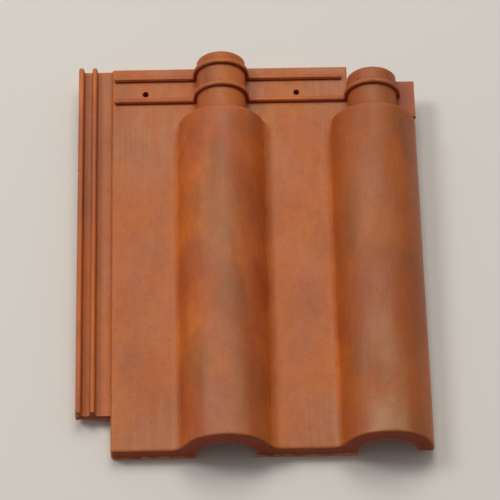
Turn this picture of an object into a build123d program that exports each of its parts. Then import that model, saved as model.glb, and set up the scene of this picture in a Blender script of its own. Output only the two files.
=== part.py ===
from build123d import *
from math import atan2, cos, degrees, sin
import os

# An interlocking clay roof tile: two flat pans and two rolls, pressed and fired as one piece.
# It is drawn with the pans level: X across the slope, Y up the slope from the nose, Z up,
# from the left edge of the first pan, at the nose, on top of the pan. Sizes are millimetres.

# Laid sizes
cover_width = 300.0
exposed_length = 360.0
head_lap = 60.0
side_gap = 1.5
side_drop = 7.0

# Body
pan_thickness = 12.0
pan_edge_radius = 3.0
roll_radius = 42.0
roll_drop = 9.0
roll_wall = 11.0
roll_foot_radius = 5.0
first_roll_x = 108.0

# Nose
nose_lip_depth = 4.5
nose_lip_length = 12.0
nose_radius = 3.5
arris_radius = 1.5

# Head
shoulder_gap = 3.0
shoulder_wall = 10.0
shoulder_radius = 3.0
head_roll_clearance = 2.5
head_roll_wall = 9.0
head_foot_radius = 2.0
head_chamfer = 1.5
weather_bar_height = 3.5
weather_bar_width = 6.0
weather_bar_slope = 1.5
weather_bar_clearance = 1.5
weather_bar_setback = 10.0
flange_thickness = 6.0

# Side lock
lock_floor_depth = 5.0
leg_thickness = 10.0
leg_clearance = 1.5
lock_clearance = 2.5
inner_rib_width = 5.5
drain_width = 7.5
outer_rib_width = 6.0
lock_rib_height = 8.5
lock_rib_radius = 1.6
lock_rib_draft = 0.6
lock_root_radius = 1.5
lock_setback = 40.0
corner_clearance = 2.0

# Nibs and nail holes
nib_depth = 14.0
nib_width = 36.0
nib_length = 14.0
nib_slope = 6.0
nib_setback = 18.0
nib_corner_radius = 3.0
nib_chamfer = 1.5
nail_hole_radius = 3.0
nail_edge_distance = 12.0

# Sizes that follow
tile_length = exposed_length + head_lap
lap_rise = pan_thickness + nose_lip_depth
cover_roll_x = cover_width - side_gap - roll_radius
roll_half_width = (roll_radius ** 2 - roll_drop ** 2) ** 0.5
hollow_radius = roll_radius - roll_wall
nose_hollow_radius = hollow_radius - nose_lip_depth
head_roll_radius = nose_hollow_radius - head_roll_clearance
head_roll_springing = lap_rise - roll_drop
head_hollow_radius = head_roll_radius - head_roll_wall
shoulder_y = exposed_length - shoulder_gap
hollow_end_y = shoulder_y - shoulder_wall
lip_back_y = nose_lip_length + nose_lip_depth
first_bar_y = exposed_length + lip_back_y + weather_bar_clearance
second_bar_y = tile_length - weather_bar_setback - weather_bar_width
nib_face_y = tile_length - nib_setback
leg_bottom = -(side_drop + lock_floor_depth - leg_clearance)
channel_width = side_gap + leg_thickness + lock_clearance
lock_width = channel_width + inner_rib_width + drain_width + outer_rib_width
rib_top = lock_rib_height - lock_floor_depth
flange_bottom = rib_top - side_drop + leg_clearance
flange_top = flange_bottom + flange_thickness
corner_y = exposed_length + lock_setback - corner_clearance
bar_end_x = cover_roll_x - head_roll_radius - weather_bar_height - head_foot_radius
passage_x = cover_width - lock_width - corner_clearance
below = -(pan_thickness + nib_depth + roll_radius)
cut_margin = 1.0
tolerance = 0.01


def along(section, start, end):
    """Run a section, drawn across the tile, from one distance up the slope to another."""
    return extrude(Plane.XZ.offset(-start) * section, amount=start - end)


def block(left, right, bottom, top):
    """A rectangle of the section, by its edges."""
    return Pos((left + right) / 2, (bottom + top) / 2) * Rectangle(right - left, top - bottom)


def arch(x, springing, radius, foot):
    """A half round on straight legs that reach down to the foot."""
    left = x - radius
    right = x + radius
    legs = Polyline((left, springing), (left, foot), (right, foot), (right, springing))
    crown = ThreePointArc((right, springing), (x, springing + radius), (left, springing))
    return make_face(legs + crown)


def rounded_corners(section, places, radius):
    """The section with its corners nearest the given places rounded."""
    found = [section.vertices().sort_by_distance((x, z, 0))[0] for x, z in places]
    return fillet(found, radius)


def end_rim(solid, y, floor):
    """The edges round the end of a solid at one distance up the slope, above its underside."""
    rim = ShapeList()
    for edge in solid.edges():
        box = edge.bounding_box()
        at_end = abs(box.min.Y - y) < tolerance and abs(box.max.Y - y) < tolerance
        if at_end and box.max.Z > floor + tolerance:
            rim.append(edge)
    return rim


def pan_section():
    """The flat of both pans, with the rounded left edge that shows beside the neighbour's roll."""
    section = block(0, cover_roll_x, -pan_thickness, 0)
    return rounded_corners(section, [(0, 0)], pan_edge_radius)


def body():
    """The exposed length: pans and rolls, filled below, with a rounded rim at the nose."""
    half = roll_half_width
    section = pan_section()
    section += arch(first_roll_x, -roll_drop, roll_radius, -pan_thickness)
    section += arch(cover_roll_x, -roll_drop, roll_radius, leg_bottom)
    feet = [(first_roll_x - half, 0), (first_roll_x + half, 0), (cover_roll_x - half, 0)]
    section = rounded_corners(section, feet, roll_foot_radius)
    section = rounded_corners(section, [(cover_roll_x + roll_radius, leg_bottom)], arris_radius)
    solid = along(section, 0, shoulder_y - shoulder_radius)
    return fillet(end_rim(solid, 0, leg_bottom), nose_radius)


def shoulder(x, foot):
    """The rounded upper end of a roll, where the head lap starts."""
    solid = along(arch(x, -roll_drop, roll_radius, foot), hollow_end_y, shoulder_y)
    return fillet(end_rim(solid, shoulder_y, leg_bottom), shoulder_radius)


def nose_lip():
    """The thicker rim under the nose, which lies on the tile below."""
    low = -lap_rise
    profile = [(0, -pan_thickness), (0, low), (nose_lip_length, low), (lip_back_y, -pan_thickness)]
    rim = extrude(Plane.YZ * make_face(Polyline(*profile, close=True)), amount=cover_roll_x)
    rim = fillet(rim.edges().filter_by(Axis.Z).sort_by_distance((0, 0, low))[0], nose_radius)
    return fillet(rim.edges().sort_by_distance((cover_roll_x / 2, 0, low))[0], arris_radius)


def head_section(raised):
    """The lower section that goes under the next course, filled below."""
    radius = head_roll_radius + raised
    section = block(0, cover_roll_x, -pan_thickness, raised)
    section += arch(first_roll_x, head_roll_springing, radius, -pan_thickness)
    section += arch(cover_roll_x, head_roll_springing, radius, flange_bottom)
    feet = [(first_roll_x - radius, raised), (first_roll_x + radius, raised), (cover_roll_x - radius, raised)]
    return rounded_corners(section, feet, head_foot_radius)


def head():
    """The head lap: small rolls, the flange over the neighbour's lock, and the weather bars."""
    section = head_section(0)
    section += block(cover_roll_x, cover_roll_x + roll_radius, flange_bottom, flange_top)
    section = rounded_corners(section, [(cover_roll_x + head_roll_radius, flange_top)], head_foot_radius)
    section = rounded_corners(section, [(0, 0)], pan_edge_radius)
    solid = along(section, shoulder_y, tile_length)
    corner = block(cover_roll_x - head_roll_radius, cover_width, below, roll_radius)
    solid -= along(corner, corner_y, tile_length + cut_margin)
    solid = chamfer(end_rim(solid, tile_length, -pan_thickness), head_chamfer)
    bar_end = block(bar_end_x, cover_width, below, roll_radius)
    for bar_y in (first_bar_y, second_bar_y):
        solid += weather_bar(bar_y) - along(bar_end, corner_y, tile_length)
    return solid


def weather_bar(y):
    """A low bar with sloping sides that crosses the head, over pans and rolls."""
    section = head_section(weather_bar_height)
    section -= block(-cut_margin, pan_edge_radius, below, roll_radius)
    section -= block(cover_roll_x, cover_width, below, flange_top)
    end = y + weather_bar_width
    solid = along(section, y, end)
    return chamfer(end_rim(solid, y, 0) + end_rim(solid, end, 0), weather_bar_slope)


def roll_hollow(x):
    """The space under one roll: narrower at the nose lip, and small in the head lap."""
    nose = arch(x, -roll_drop, nose_hollow_radius, below)
    middle = arch(x, -roll_drop, hollow_radius, below)
    small = arch(x, head_roll_springing, head_hollow_radius, below)
    cut = along(nose, -cut_margin, nose_lip_length)
    cut += loft([Plane.XZ.offset(-nose_lip_length) * nose, Plane.XZ.offset(-lip_back_y) * middle], ruled=True)
    cut += along(middle, lip_back_y, hollow_end_y)
    return cut + along(small, hollow_end_y, tile_length + cut_margin)


def lock_passage():
    """The way through the cover roll's shoulder and head for the neighbour's side lock."""
    section = block(passage_x, cover_roll_x + hollow_radius, below, flange_bottom)
    return along(section, hollow_end_y, tile_length + cut_margin)


def lock_rib(left, right):
    """One rib of the side lock, with sloping sides so that it leaves the mould."""
    left_top = (left + lock_rib_draft, rib_top)
    right_top = (right - lock_rib_draft, rib_top)
    section = Polyline((left, -lock_floor_depth), left_top, right_top, (right, -lock_floor_depth), close=True)
    return rounded_corners(make_face(section), [left_top, right_top], lock_rib_radius)


def side_lock():
    """The channels and ribs on the left, which the neighbour's roll covers."""
    inner_right = -channel_width
    inner_left = inner_right - inner_rib_width
    outer_right = inner_left - drain_width
    section = block(-lock_width, 0, -pan_thickness, -lock_floor_depth)
    section += lock_rib(inner_left, inner_right)
    section += lock_rib(-lock_width, outer_right)
    roots = [(x, -lock_floor_depth) for x in (outer_right, inner_left, inner_right)]
    section = rounded_corners(section, roots, lock_root_radius)
    section = rounded_corners(section, [(-lock_width, -pan_thickness)], arris_radius)
    return along(section, lock_setback, tile_length)


def nib(x):
    """A nib that hooks over the batten, with a square face down the slope."""
    low = -pan_thickness - nib_depth
    back = nib_face_y + nib_length
    profile = [(nib_face_y, -pan_thickness), (nib_face_y, low), (back - nib_slope, low), (back, -pan_thickness)]
    face = make_face(Polyline(*profile, close=True))
    solid = extrude(Plane.YZ.offset(x - nib_width / 2) * face, amount=nib_width)
    solid = fillet(solid.edges().filter_by(Axis.Z), nib_corner_radius)
    return chamfer(solid.faces().sort_by(Axis.Z)[0].edges(), nib_chamfer)


def nail_hole(x):
    """A round hole through the pan, at the nailing distance below the nib's face."""
    hole_y = nib_face_y - nail_edge_distance
    return Pos(x, hole_y, -pan_thickness / 2) * Cylinder(nail_hole_radius, pan_thickness + 2 * cut_margin)


def level_tile():
    """The whole tile with its pans level."""
    solid = body() + along(pan_section(), hollow_end_y, shoulder_y)
    solid += shoulder(first_roll_x, -pan_thickness) + shoulder(cover_roll_x, leg_bottom)
    solid += head() + nose_lip()
    solid -= roll_hollow(first_roll_x) + roll_hollow(cover_roll_x) + lock_passage()
    solid += side_lock()
    first_pan_right = first_roll_x - roll_half_width
    for x in (first_pan_right / 2, (first_roll_x + cover_roll_x) / 2):
        solid += nib(x)
        solid -= nail_hole(x)
    return solid


def as_it_lies(solid):
    """The tile at rest on level ground: its nose lip and the two nibs touch, and X and Y are centred."""
    angle = atan2(nib_depth - nose_lip_depth, nib_face_y)
    edge_height = arris_radius - pan_thickness - nose_lip_depth
    lowest = arris_radius * sin(angle) + edge_height * cos(angle) - arris_radius
    solid = Pos(0, 0, -lowest) * Rot(X=degrees(angle)) * solid
    middle = solid.bounding_box().center()
    return Pos(-middle.X, -middle.Y, 0) * solid


os.makedirs("parts", exist_ok=True)
roof_tile = as_it_lies(level_tile())
export_step(roof_tile, "parts/roof_tile.step")
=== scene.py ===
import math
import random

import bpy
import numpy as np
from mathutils import Euler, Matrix, Vector, kdtree, noise


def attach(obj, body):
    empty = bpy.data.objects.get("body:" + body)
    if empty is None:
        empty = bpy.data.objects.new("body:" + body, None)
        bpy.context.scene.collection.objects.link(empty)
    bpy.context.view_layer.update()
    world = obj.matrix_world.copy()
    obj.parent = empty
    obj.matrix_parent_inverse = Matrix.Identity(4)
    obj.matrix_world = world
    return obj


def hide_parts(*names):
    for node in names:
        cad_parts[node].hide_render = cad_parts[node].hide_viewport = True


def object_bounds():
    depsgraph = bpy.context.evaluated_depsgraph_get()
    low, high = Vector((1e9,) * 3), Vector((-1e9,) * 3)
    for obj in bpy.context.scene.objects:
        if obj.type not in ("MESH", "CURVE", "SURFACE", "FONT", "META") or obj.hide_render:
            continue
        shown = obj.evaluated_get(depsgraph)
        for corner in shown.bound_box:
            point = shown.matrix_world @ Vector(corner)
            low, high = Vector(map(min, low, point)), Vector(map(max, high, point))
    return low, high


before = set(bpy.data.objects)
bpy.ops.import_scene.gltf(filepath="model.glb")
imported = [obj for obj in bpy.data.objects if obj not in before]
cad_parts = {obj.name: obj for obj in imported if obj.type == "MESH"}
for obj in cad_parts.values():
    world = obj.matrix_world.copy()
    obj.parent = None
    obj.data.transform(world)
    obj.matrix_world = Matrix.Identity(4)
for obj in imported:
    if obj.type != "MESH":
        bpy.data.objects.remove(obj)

cad_box = [list(corner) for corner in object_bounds()]

# The tile as it left the press: one piece of clay, pressed between two moulds and fired.
# It lies with its nose lip and its two nibs on the floor, so its pans rise a little towards the head.
# The solid is copied and remeshed to a millimetre, so that the clay can be worked by hand.
millimetre = 0.001
tile_length = 0.420
pan_thickness = 0.012
nose_thickness = 0.0165
nose_arris = 0.0015
side_lock_width = 0.033
nib_below_lip = 0.0095
nib_face_y = 0.402
clay_grid = 0.0010
same_point = 0.00001

rest_slope = math.atan2(nib_below_lip, nib_face_y)
slope_sine = math.sin(rest_slope)
slope_cosine = math.cos(rest_slope)
first_pan_x = cad_box[0][0] + side_lock_width
nose_y = cad_box[1][1] - tile_length * slope_cosine - pan_thickness * slope_sine
pan_z = nose_arris + (nose_thickness - nose_arris) * slope_cosine - nose_arris * slope_sine
tile_origin = Vector((first_pan_x, nose_y, pan_z))
tile_turn = Euler((rest_slope, 0, 0)).to_matrix()

bpy.ops.object.select_all(action="DESELECT")
tile = bpy.data.objects.new("pressed_clay_tile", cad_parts["roof_tile"].data.copy())
bpy.context.scene.collection.objects.link(tile)
tile.data.materials.clear()
bpy.context.view_layer.objects.active = tile
tile.select_set(True)
bpy.ops.object.mode_set(mode="EDIT")
bpy.ops.mesh.select_all(action="SELECT")
bpy.ops.mesh.remove_doubles(threshold=same_point)
bpy.ops.mesh.customdata_custom_splitnormals_clear()
bpy.ops.object.mode_set(mode="OBJECT")

# The chips: a little clay is broken away at two places on the outer rib of the side lock,
# where tiles knock together in the stack. Each chip is a roughened ball that is cut out.
# It has a place in tile millimetres, across, up the slope and above the pan, a radius, a stretch and a turn.
chips = (
    ((-33.0, 300.0, 4.0), 2.4, (1.5871, 0.8151, 0.8195), (0.0611, 0.2250, 0.0969)),
    ((-34.0, 39.0, -3.0), 3.4, (1.7875, 0.8318, 0.6465), (-0.2801, 0.1785, -0.1995)),
)
chip_grain = 420.0
chip_roughness = 0.35


def in_tile(x, y, z):
    """A place on the tile, in tile millimetres, as a point of the frame."""
    return tile_origin + tile_turn @ (Vector((x, y, z)) * millimetre)


for place, radius, stretch, turn in chips:
    bpy.ops.mesh.primitive_ico_sphere_add(
        subdivisions=4,
        radius=radius * millimetre,
        location=in_tile(*place),
    )
    chip = bpy.context.object
    for vertex in chip.data.vertices:
        rough = noise.fractal(vertex.co * chip_grain + Vector(place), 0.8, 2.0, 4)
        vertex.co *= 1.0 + chip_roughness * rough
    chip.scale = stretch
    chip.rotation_euler = turn
    broken = tile.modifiers.new("chip", "BOOLEAN")
    broken.operation = "DIFFERENCE"
    broken.object = chip
    bpy.context.view_layer.objects.active = tile
    bpy.ops.object.modifier_apply(modifier=broken.name)
    bpy.data.objects.remove(chip)

tile.data.remesh_voxel_size = clay_grid
tile.data.remesh_voxel_adaptivity = 0.0
bpy.ops.object.voxel_remesh()

# The rolls as the mould rounds them: the facets on each round face are drawn onto its true circle.
# A round is given by its axis above the pan, its radius, and where it begins and ends up the slope.
# All the clay's moves are in the tile's own directions, with its pans level and its nose at nought.
roll_x = (0.108, 0.2565)
roll_radius = 0.042
roll_drop = 0.009
hollow_radius = 0.031
nose_hollow_radius = 0.0265
head_roll_lift = 0.0075
head_roll_radius = 0.024
head_bar_radius = 0.0275
head_hollow_radius = 0.015
lip_end_y = 0.012
head_hollow_y = 0.34
shoulder_y = 0.357
past_head_y = 1.0
facet_error = 0.0002
facet_reach = 2.5
pressed_rounds = (
    (-roll_drop, roll_radius, 0.0, shoulder_y),
    (-roll_drop, hollow_radius, lip_end_y, shoulder_y),
    (-roll_drop, nose_hollow_radius, 0.0, lip_end_y),
    (head_roll_lift, head_bar_radius, shoulder_y, past_head_y),
    (head_roll_lift, head_roll_radius, shoulder_y, past_head_y),
    (head_roll_lift, head_hollow_radius, head_hollow_y, past_head_y),
)

mesh = tile.data
count = len(mesh.vertices)
to_frame = np.array(tile_turn)
origin = np.array(tile_origin)


def read_vertices(collection, name, width=3):
    """The values of all vertices as an array."""
    values = np.zeros(count * width)
    collection.foreach_get(name, values)
    return values.reshape(-1, width)


clay = (read_vertices(mesh.vertices, "co") - origin) @ to_frame
for axis_x in roll_x:
    for axis_z, radius, from_y, to_y in pressed_rounds:
        across = clay[:, 0] - axis_x
        above = clay[:, 2] - axis_z
        reach = np.hypot(across, above)
        pull = np.clip(facet_reach - np.abs(reach - radius) / facet_error, 0, 1)
        pull *= np.clip(above / millimetre, 0, 1)
        pull *= (clay[:, 1] >= from_y) & (clay[:, 1] < to_y)
        scale = 1 + pull * (radius / np.maximum(reach, radius / 2) - 1)
        clay[:, 0] = axis_x + across * scale
        clay[:, 2] = axis_z + above * scale

# Each roll's foot runs out into the pan in a wide soft hollow, and the cover roll has one on its left only.
pressed_foot = 0.005
soft_foot = 0.012
foot_depth = 0.005
foot_fade = 0.014
foot_from = 0.030
foot_to = 0.052


def roll_outline(across, foot_radius):
    """The height of the face beside a roll's axis, with a foot of the given radius."""
    foot_reach = math.sqrt((roll_radius + foot_radius) ** 2 - (roll_drop + foot_radius) ** 2)
    foot_start = foot_reach * roll_radius / (roll_radius + foot_radius)
    round_height = np.sqrt(np.maximum(roll_radius ** 2 - across ** 2, 0)) - roll_drop
    foot_height = foot_radius - np.sqrt(np.maximum(foot_radius ** 2 - (foot_reach - across) ** 2, 0))
    return np.where(across < foot_start, round_height, np.where(across < foot_reach, foot_height, 0.0))


for axis_x, sides in ((roll_x[0], (-1, 1)), (roll_x[1], (-1,))):
    for side in sides:
        across = (clay[:, 0] - axis_x) * side
        pressed = roll_outline(across, pressed_foot)
        near_face = np.clip(1 + (clay[:, 2] - pressed) / foot_depth, 0, 1)
        near_face *= (across > foot_from) & (across < foot_to)
        along = np.clip((shoulder_y - clay[:, 1]) / foot_fade, 0, 1)
        clay[:, 2] += near_face * along * (roll_outline(across, soft_foot) - pressed)

# The left flank of each roll is drawn a little further out, and the flat pan beside it takes up the move.
flank_shift = 0.0028
flank_width = 0.034
take_up_from = 0.060
take_up_to = 0.090
flank_fade = 0.030


def eased(value):
    """A smooth step from nought to one."""
    value = np.clip(value, 0, 1)
    return value * value * (3 - 2 * value)


for axis_x in roll_x:
    left_of_axis = axis_x - clay[:, 0]
    shift = flank_shift * eased(left_of_axis / flank_width)
    shift *= eased((take_up_to - left_of_axis) / (take_up_to - take_up_from))
    clay[:, 0] -= shift * eased((shoulder_y - clay[:, 1]) / flank_fade)

# The surface as it came off the mould and out of the kiln: uneven, rougher below, and trimmed at its arrises.
# Pits, specks of grit and shallow dents lie where chance puts them, and the firing has warped the whole tile.
# The worn edges and the creases are found here too: the coat below is worn at the edges, and darkened in the
# creases as painted shade.
press_unevenness = 0.00016
face_roughness = 0.00004
underside_roughness = 0.00011
arris_wear = 0.00035
bend_gain = 9.0
crease_start = 0.25
kiln_lift = 0.0004
kiln_lift_across = 0.22
kiln_lift_along = 0.30
kiln_sway = 0.0003
kiln_sway_along = 0.11


def layer(size, seed, stretch=1.0):
    """Smooth unevenness of about the given size, longer up the slope where it is stretched."""
    places = clay / (size, size * stretch, size) + seed
    roughness, step, octaves = 1.0, 2.0, 2
    return np.array([noise.fractal(Vector(place), roughness, step, octaves) for place in places.tolist()])


mesh.vertices.foreach_set("co", (clay @ to_frame.T + origin).ravel())
mesh.update()
normals = read_vertices(mesh.vertices, "normal") @ to_frame

edges = np.zeros(len(mesh.edges) * 2, dtype=np.int64)
mesh.edges.foreach_get("vertices", edges)
start, end = edges.reshape(-1, 2).T
degree = np.bincount(start, minlength=count) + np.bincount(end, minlength=count)


def spread(values):
    """The mean of each vertex's neighbours."""
    total = np.bincount(start, weights=values[end], minlength=count)
    total += np.bincount(end, weights=values[start], minlength=count)
    return total / degree


ring = np.stack([spread(clay[:, axis]) for axis in range(3)], axis=1)
bend = np.einsum("ij,ij->i", clay - ring, normals) / clay_grid
for _ in range(3):
    bend = spread(bend)
worn = np.clip(bend * bend_gain, 0, 1)
crease = np.clip(-bend * bend_gain - crease_start, 0, 1)

facing_down = np.clip(-normals[:, 2] * 2.0, 0, 1)
push = press_unevenness * layer(0.030, seed=3.1, stretch=2.0)
push += (face_roughness + underside_roughness * facing_down) * layer(0.005, seed=17.7)
push -= arris_wear * worn * np.clip(layer(0.009, seed=29.3), 0, 1)

# Pits, grit and dents: how many there are, their smallest and largest radius, and their height or depth.
marks = (
    (260, 0.0009, 0.0018, -0.00022),
    (70, 0.0008, 0.0014, 0.00016),
    (26, 0.006, 0.014, -0.00018),
)
random.seed(7)
finder = kdtree.KDTree(count)
for index, place in enumerate(clay.tolist()):
    finder.insert(place, index)
finder.balance()
for number, smallest, largest, mark_height in marks:
    for _ in range(number):
        radius = random.uniform(smallest, largest)
        middle = clay[random.randrange(count)]
        for _, index, distance in finder.find_range(middle, radius):
            push[index] += mark_height * (1 - (distance / radius) ** 2) ** 2

clay += normals * push[:, None]
lift_places = clay * (1 / kiln_lift_across, 1 / kiln_lift_along, 0)
clay[:, 2] += kiln_lift * np.array([noise.noise(Vector(place)) for place in lift_places.tolist()])
sway_places = [Vector((3.0, along / kiln_sway_along, 5.0)) for along in clay[:, 1].tolist()]
clay[:, 0] += kiln_sway * np.array([noise.noise(place) for place in sway_places])
placed = np.clip(clay @ to_frame.T + origin, *np.array(cad_box))
mesh.vertices.foreach_set("co", placed.ravel())

# The mesh is thinned where the clay is flat, and the masks of the worked surface are carried over to it.
kept_faces = 96000
sharpest_smooth = math.radians(50)
chip_mask_reach = 0.0016
chip_mask_gain = 4.0

worked = kdtree.KDTree(count)
for index, place in enumerate(placed.tolist()):
    worked.insert(place, index)
worked.balance()

thin = tile.modifiers.new("thin", "DECIMATE")
thin.ratio = min(1.0, kept_faces / len(mesh.polygons))
bpy.ops.object.modifier_apply(modifier=thin.name)
bpy.ops.object.shade_smooth_by_angle(angle=sharpest_smooth)

mesh = tile.data
for vertex in mesh.vertices:
    vertex.co = Vector(np.clip(vertex.co, *np.array(cad_box)))
chip_middles = [(in_tile(*place), radius * chip_mask_reach) for place, radius, _, _ in chips]
worn_edge = mesh.attributes.new("worn_edge", "FLOAT", "POINT")
crease_shade = mesh.attributes.new("crease_shade", "FLOAT", "POINT")
broken_clay = mesh.attributes.new("broken_clay", "FLOAT", "POINT")
for vertex in mesh.vertices:
    index = worked.find(vertex.co)[1]
    worn_edge.data[vertex.index].value = worn[index]
    crease_shade.data[vertex.index].value = crease[index]
    depth = max(1.0 - (vertex.co - middle).length / reach for middle, reach in chip_middles)
    broken_clay.data[vertex.index].value = min(1.0, max(0.0, depth * chip_mask_gain))

# The finish: an iron-red slip poured over the face and edges, and smoked brown in the kiln, over bare clay.
# Its patterns lie in the tile's own directions, up the slope, as the slip runs and the smoke is drawn.


def add(tree, kind, inputs):
    """A node with its inputs set, by name or number: a value stays, and a socket is linked."""
    node = tree.nodes.new(kind)
    for key, value in inputs.items():
        if isinstance(value, bpy.types.NodeSocket):
            tree.links.new(value, node.inputs[key])
        else:
            node.inputs[key].default_value = value
    return node


def maths(tree, operation, first, second, clamp=False):
    """One step of arithmetic."""
    node = add(tree, "ShaderNodeMath", {0: first, 1: second})
    node.operation = operation
    node.use_clamp = clamp
    return node.outputs[0]


def between(tree, value, low, high, steps=(0.0, 1.0)):
    """A smooth mask that goes from the first step to the second as the value goes from low to high."""
    inputs = {"Value": value, "From Min": low, "From Max": high, "To Min": steps[0], "To Max": steps[1]}
    node = add(tree, "ShaderNodeMapRange", inputs)
    node.interpolation_type = "SMOOTHSTEP"
    return node.outputs["Result"]


def tint(tree, mask, under, over, strength=1.0):
    """One colour laid over another by a mask, at the given strength."""
    if strength != 1.0:
        mask = maths(tree, "MULTIPLY", mask, strength)
    node = tree.nodes.new("ShaderNodeMix")
    node.data_type = "RGBA"
    tree.links.new(mask, node.inputs[0])
    for socket, colour in ((node.inputs[6], under), (node.inputs[7], over)):
        if isinstance(colour, bpy.types.NodeSocket):
            tree.links.new(colour, socket)
        else:
            socket.default_value = (*colour, 1.0)
    return node.outputs[2]


def cloud(tree, places, size, stretch=(1.0, 1.0, 1.0), detail=3.0, roughness=0.5, seed=0.0, wander=0.0):
    """Soft noise of about the given size in metres, stretched along each direction, and bent by wander."""
    mapping = add(tree, "ShaderNodeMapping", {"Vector": places})
    mapping.inputs["Scale"].default_value = [1.0 / (size * length) for length in stretch]
    mapping.inputs["Location"].default_value = (seed, seed * 1.7, seed * 2.3)
    inputs = {"Vector": mapping.outputs[0], "Scale": 1.0, "Detail": detail, "Roughness": roughness}
    node = add(tree, "ShaderNodeTexNoise", inputs)
    node.inputs["Distortion"].default_value = wander
    return node.outputs["Fac"]


def painted(tree, name):
    """A mask that the mesh carries."""
    node = tree.nodes.new("ShaderNodeAttribute")
    node.attribute_name = name
    return node.outputs["Fac"]


clay_finish = bpy.data.materials.new("fired_clay_engobe")
clay_finish.use_nodes = True
tree = clay_finish.node_tree
tree.nodes.clear()
coordinates = tree.nodes.new("ShaderNodeTexCoord")
level = add(tree, "ShaderNodeMapping", {"Vector": coordinates.outputs["Object"]})
level.inputs["Rotation"].default_value = (-rest_slope, 0, 0)
level.inputs["Location"].default_value = tile_turn.transposed() @ -tile_origin
places = level.outputs[0]
split = add(tree, "ShaderNodeSeparateXYZ", {0: places})
across = split.outputs["X"]
up_slope = split.outputs["Y"]
height = split.outputs["Z"]
facing = add(tree, "ShaderNodeSeparateXYZ", {0: coordinates.outputs["Normal"]})
facing_up = facing.outputs["Z"]
facing_nose = maths(tree, "MULTIPLY", facing.outputs["Y"], -1.0)

roll_top = between(tree, height, 0.004, 0.034)
pan_flat = between(tree, height, 0.0005, 0.004, (1.0, 0.0))
small = cloud(tree, places, 0.008, (1.0, 1.3, 1.0), seed=8.0)
sand = cloud(tree, places, 0.0022, detail=4.0, roughness=0.7, seed=61.0)
streaks = cloud(tree, places, 0.0030, (1.0, 24.0, 1.0), seed=11.0)

# The slip is fired orange, browner and redder in soft patches, and paler on the pans.
fired_orange = (0.66, 0.160, 0.016)
brick_red = (0.43, 0.078, 0.012)
soft_rose = (0.58, 0.165, 0.036)
bright_orange = (0.66, 0.185, 0.024)
dusky_rose = (0.42, 0.100, 0.028)
cover_brown = (0.35, 0.076, 0.010)
broad = cloud(tree, places, 0.075, (1.0, 1.6, 1.0), seed=2.0, wander=0.5)
colour = tint(tree, between(tree, broad, 0.36, 0.60), fired_orange, brick_red)
colour = tint(tree, pan_flat, colour, soft_rose, strength=0.80)
middling = cloud(tree, places, 0.034, (1.0, 1.5, 1.0), detail=4.0, seed=5.0, wander=0.3)
colour = tint(tree, between(tree, middling, 0.42, 0.66, (0.0, 0.45)), colour, bright_orange)
rose_cloud = cloud(tree, places, 0.044, (1.0, 1.5, 1.0), detail=4.0, seed=15.0, wander=0.3)
rose = between(tree, rose_cloud, 0.42, 0.68, (0.0, 0.75))
rose = maths(tree, "MULTIPLY", rose, between(tree, pan_flat, 0.0, 1.0, (1.0, 0.60)))
colour = tint(tree, rose, colour, dusky_rose)
cover_roll = between(tree, across, 0.206, 0.220)
cover_roll = maths(tree, "MULTIPLY", cover_roll, between(tree, height, 0.001, 0.010))
colour = tint(tree, cover_roll, colour, cover_brown, strength=0.60)

# Kiln smoke: olive brown smudges that run up the slope, most of them on the rolls.
smoke_brown = (0.24, 0.088, 0.018)
smoke_cloud = cloud(tree, places, 0.040, (1.0, 2.2, 1.0), detail=4.0, seed=21.0, wander=0.2)
smoke = between(tree, smoke_cloud, 0.48, 0.70)
smoke = maths(tree, "MULTIPLY", smoke, between(tree, roll_top, 0.0, 0.8, (0.40, 1.0)))
colour = tint(tree, smoke, colour, smoke_brown, strength=0.56)

# A pale tan on the crests is painted sheen, and partly kiln bloom.
crest_sheen_tan = (0.50, 0.245, 0.120)
end_tan = (0.49, 0.215, 0.105)
bloom_cloud = cloud(tree, places, 0.050, (1.0, 2.2, 1.0), seed=31.0)
crest_sheen_bloom = between(tree, height, 0.0265, 0.0325)
crest_sheen_bloom = maths(tree, "MULTIPLY", crest_sheen_bloom, between(tree, bloom_cloud, 0.32, 0.62))
crest_sheen_bloom = maths(tree, "MULTIPLY", crest_sheen_bloom, between(tree, up_slope, 0.015, 0.150, (1.0, 0.40)))
crest_sheen_bloom = maths(tree, "MULTIPLY", crest_sheen_bloom, between(tree, across, 0.15, 0.22, (0.50, 0.95)))
colour = tint(tree, crest_sheen_bloom, colour, crest_sheen_tan)
# A pale tan bloom lies at both ends of the pans, where it is drawn out in streaks.
low_end = between(tree, up_slope, 0.010, 0.095, (1.0, 0.0))
high_end = between(tree, up_slope, 0.250, 0.340)
ends = maths(tree, "MULTIPLY", maths(tree, "ADD", low_end, high_end), pan_flat)
ends = maths(tree, "MULTIPLY", ends, between(tree, maths(tree, "ADD", streaks, bloom_cloud), 0.75, 1.30))
colour = tint(tree, ends, colour, end_tan, strength=0.65)

# The fine pattern: mottling, pale brush streaks, and dark and pale grains of sand.
mottle_brown = (0.34, 0.070, 0.018)
streak_tan = (0.66, 0.260, 0.100)
dark_sand = (0.32, 0.066, 0.014)
pale_sand = (0.72, 0.260, 0.075)
colour = tint(tree, between(tree, small, 0.42, 0.70, (0.0, 0.20)), colour, mottle_brown)
colour = tint(tree, between(tree, streaks, 0.52, 0.72, (0.0, 0.08)), colour, streak_tan)
colour = tint(tree, between(tree, sand, 0.54, 0.72, (0.0, 0.38)), colour, dark_sand)
colour = tint(tree, between(tree, sand, 0.46, 0.28, (0.0, 0.30)), colour, pale_sand)
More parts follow.
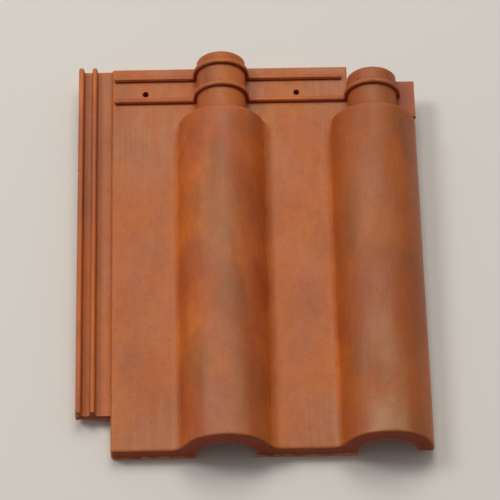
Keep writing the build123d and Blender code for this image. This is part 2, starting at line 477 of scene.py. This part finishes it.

# The face of the nose is painted a darker red as painted shade, and the slip is rubbed at the edges.
nose_shade_red = (0.24, 0.024, 0.007)
rubbed_orange = (0.62, 0.200, 0.060)
crease_shade_brown = (0.25, 0.055, 0.010)
nose_face = between(tree, facing_nose, 0.45, 0.85)
colour = tint(tree, nose_face, colour, nose_shade_red, strength=0.90)
edge_rub = maths(tree, "MULTIPLY", painted(tree, "worn_edge"), between(tree, small, 0.35, 0.60, (0.25, 0.85)))
colour = tint(tree, edge_rub, colour, rubbed_orange, strength=0.40)
# The creases are painted a darker brown: painted shade.
colour = tint(tree, painted(tree, "crease_shade"), colour, crease_shade_brown, strength=0.40)

# Specks of iron and lime: dark ones burnt through the slip, and a few pale ones.
iron_speck = (0.10, 0.035, 0.015)
lime_speck = (0.70, 0.420, 0.250)
speck_places = add(tree, "ShaderNodeTexVoronoi", {"Vector": places, "Scale": 420.0})
speck = between(tree, speck_places.outputs["Distance"], 0.10, 0.20, (1.0, 0.0))
speck_pick = add(tree, "ShaderNodeSeparateColor", {0: speck_places.outputs["Color"]})
dark_speck = maths(tree, "MULTIPLY", speck, between(tree, speck_pick.outputs[0], 0.80, 0.86))
pale_speck = maths(tree, "MULTIPLY", speck, between(tree, speck_pick.outputs[1], 0.90, 0.95))
colour = tint(tree, dark_speck, colour, iron_speck, strength=0.55)
colour = tint(tree, pale_speck, colour, lime_speck, strength=0.45)

# Bare clay shows below the slip's ragged line, on the underside, and where an arris is broken.
bare_orange = (0.56, 0.190, 0.070)
bare_buff = (0.62, 0.250, 0.110)
bare_brown = (0.44, 0.130, 0.045)
bare_speck = (0.12, 0.045, 0.020)
broken_orange = (0.52, 0.180, 0.075)
bare_cloud = cloud(tree, places, 0.045, seed=43.0)
bare = tint(tree, between(tree, bare_cloud, 0.35, 0.65), bare_orange, bare_buff)
bare = tint(tree, between(tree, small, 0.35, 0.70, (0.0, 0.40)), bare, bare_brown)
bare = tint(tree, dark_speck, bare, bare_speck, strength=0.6)
ragged = maths(tree, "MULTIPLY", maths(tree, "SUBTRACT", small, 0.5), 0.010)
slip_line = maths(tree, "ADD", height, maths(tree, "MULTIPLY", facing_up, 0.016))
slip_line = maths(tree, "ADD", slip_line, ragged)
slip = between(tree, slip_line, -0.0135, -0.0105)
slip = maths(tree, "MULTIPLY", slip, between(tree, facing_up, -0.45, -0.20))
colour = tint(tree, slip, bare, colour)
broken_mask = painted(tree, "broken_clay")
broken_colour = tint(tree, between(tree, small, 0.4, 0.6), bare_buff, broken_orange)
colour = tint(tree, between(tree, broken_mask, 0.2, 0.7), colour, broken_colour)

# The slip has a dull sheen, less on the nose, and bare or broken clay has none.
roughness = between(tree, middling, 0.30, 0.70, (0.45, 0.56))
roughness = maths(tree, "SUBTRACT", roughness, maths(tree, "MULTIPLY", smoke, 0.05))
roughness = maths(tree, "ADD", roughness, maths(tree, "MULTIPLY", nose_face, 0.22))
bare_share = maths(tree, "SUBTRACT", 1.0, slip)
roughness = maths(tree, "ADD", roughness, maths(tree, "MULTIPLY", bare_share, 0.40))
roughness = maths(tree, "ADD", roughness, maths(tree, "MULTIPLY", broken_mask, 0.4), clamp=True)

grain = cloud(tree, places, 0.0011, detail=4.0, roughness=0.6, seed=51.0)
relief = maths(tree, "ADD", maths(tree, "MULTIPLY", grain, 0.5), maths(tree, "MULTIPLY", streaks, 0.25))
relief = maths(tree, "SUBTRACT", relief, maths(tree, "MULTIPLY", dark_speck, 0.4))
bump = add(tree, "ShaderNodeBump", {"Height": relief, "Distance": 0.00030, "Strength": 0.7})
surface_inputs = {"Base Color": colour, "Roughness": roughness, "Normal": bump.outputs[0], "IOR": 1.46}
surface = add(tree, "ShaderNodeBsdfPrincipled", surface_inputs)
add(tree, "ShaderNodeOutputMaterial", {"Surface": surface.outputs[0]})

tile.data.materials.append(clay_finish)
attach(tile, "root")
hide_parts("roof_tile")

# The studio floor: a plain pale board, painted matt, that the tile lies on.
floor_width = 8.0
bpy.ops.mesh.primitive_plane_add(size=floor_width, location=(0, 0, 0))
floor = bpy.context.object
floor.name = "studio_floor"
floor_finish = bpy.data.materials.new("pale_floor_paint")
floor_finish.use_nodes = True
paint = floor_finish.node_tree.nodes["Principled BSDF"]
paint.inputs["Base Color"].default_value = (0.84, 0.84, 0.84, 1.0)
paint.inputs["Roughness"].default_value = 0.8
floor.data.materials.append(floor_finish)

# The lights: a soft key from the upper left behind the tile, and a wide soft box over the head.
# The room's own light is warm and weak, and weakest from the nose side, so that the nose stays in shade.


def soft_light(name, direction, distance, size, power, colour):
    """A square soft box that looks at the tile from the given direction."""
    place = Vector(direction).normalized() * distance
    lamp = bpy.data.lights.new(name, "AREA")
    lamp.size = size
    lamp.energy = power
    lamp.color = colour
    stand = bpy.data.objects.new(name, lamp)
    stand.location = place
    stand.rotation_euler = place.to_track_quat("Z", "Y").to_euler()
    bpy.context.scene.collection.objects.link(stand)


soft_light("key_light", (-0.78, 0.30, 1.0), distance=4.5, size=1.35, power=53.0, colour=(1.0, 0.94, 0.86))
soft_light("sky_box", (0.02, 0.60, 0.95), distance=5.0, size=2.7, power=75.0, colour=(1.0, 0.94, 0.84))
world = bpy.data.worlds.new("studio")
bpy.context.scene.world = world
world.use_nodes = True
room = world.node_tree
room_light = room.nodes["Background"]
room_light.inputs["Color"].default_value = (1.0, 0.95, 0.88, 1.0)
looking = room.nodes.new("ShaderNodeTexCoord")
looking_parts = add(room, "ShaderNodeSeparateXYZ", {0: looking.outputs["Generated"]})
room_strength = between(room, looking_parts.outputs["Y"], -0.60, 0.30, (0.14, 0.42))
room.links.new(room_strength, room_light.inputs["Strength"])
bpy.context.scene.view_settings.view_transform = "Standard"

# The camera looks down on the tile from the nose side, at the angle to its pans that the photo has.
# It is a long lens, well back from the tile, so the tile's sides stay nearly parallel.
view_azimuth = math.radians(-1.2)
view_elevation = math.radians(59.0)
view_distance = 2.60
view_height = 0.024
view_direction = Vector((
    math.sin(view_azimuth) * math.cos(view_elevation),
    -math.cos(view_azimuth) * math.cos(view_elevation),
    math.sin(view_elevation),
))
camera_data = bpy.data.cameras.new("camera")
camera_data.lens = 196.0
camera = bpy.data.objects.new("camera", camera_data)
bpy.context.scene.collection.objects.link(camera)
camera.location = Vector((0.0, 0.0, view_height)) + view_direction * view_distance
camera.rotation_euler = view_direction.to_track_quat("Z", "Y").to_euler()
bpy.context.scene.camera = camera
